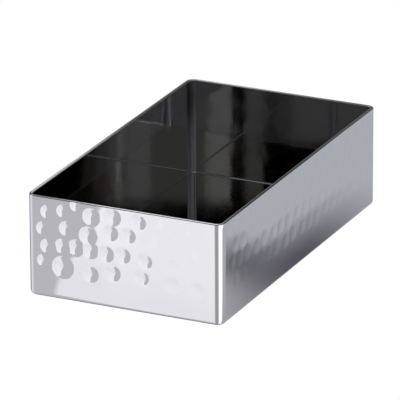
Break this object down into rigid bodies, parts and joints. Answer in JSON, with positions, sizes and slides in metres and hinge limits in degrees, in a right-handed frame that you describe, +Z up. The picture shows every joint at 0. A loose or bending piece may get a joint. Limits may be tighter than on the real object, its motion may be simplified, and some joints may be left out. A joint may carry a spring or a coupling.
{
  "type": "sugar packet holder",
  "caption": "Open oblong tray of hammered, polished stainless sheet that stands on its flat base and holds sugar packets on edge.",
  "frame": {"origin": "middle of the underside, on the surface that the tray stands on", "axes": "+X across the tray, between the long walls; +Y along the tray, from the front wall to the rear wall; +Z up out of the open top"},
  "size_m": [0.07, 0.125, 0.035],
  "materials": {
    "hammered_steel": "hammered and mirror polished",
    "dressed_weld": "ground round and mirror polished",
    "polished_steel": "mirror polished, with fine scuffs"
  },
  "bodies": {
    "root": {"base_panel": "polished_steel", "front_wall": "hammered_steel", "rear_wall": "hammered_steel", "left_wall": "hammered_steel", "right_wall": "hammered_steel", "front_left_corner_seam": "dressed_weld", "front_right_corner_seam": "dressed_weld", "rear_left_corner_seam": "dressed_weld", "rear_right_corner_seam": "dressed_weld", "front_base_seam": "dressed_weld", "rear_base_seam": "dressed_weld", "left_base_seam": "dressed_weld", "right_base_seam": "dressed_weld"}
  },
  "joints": []
}
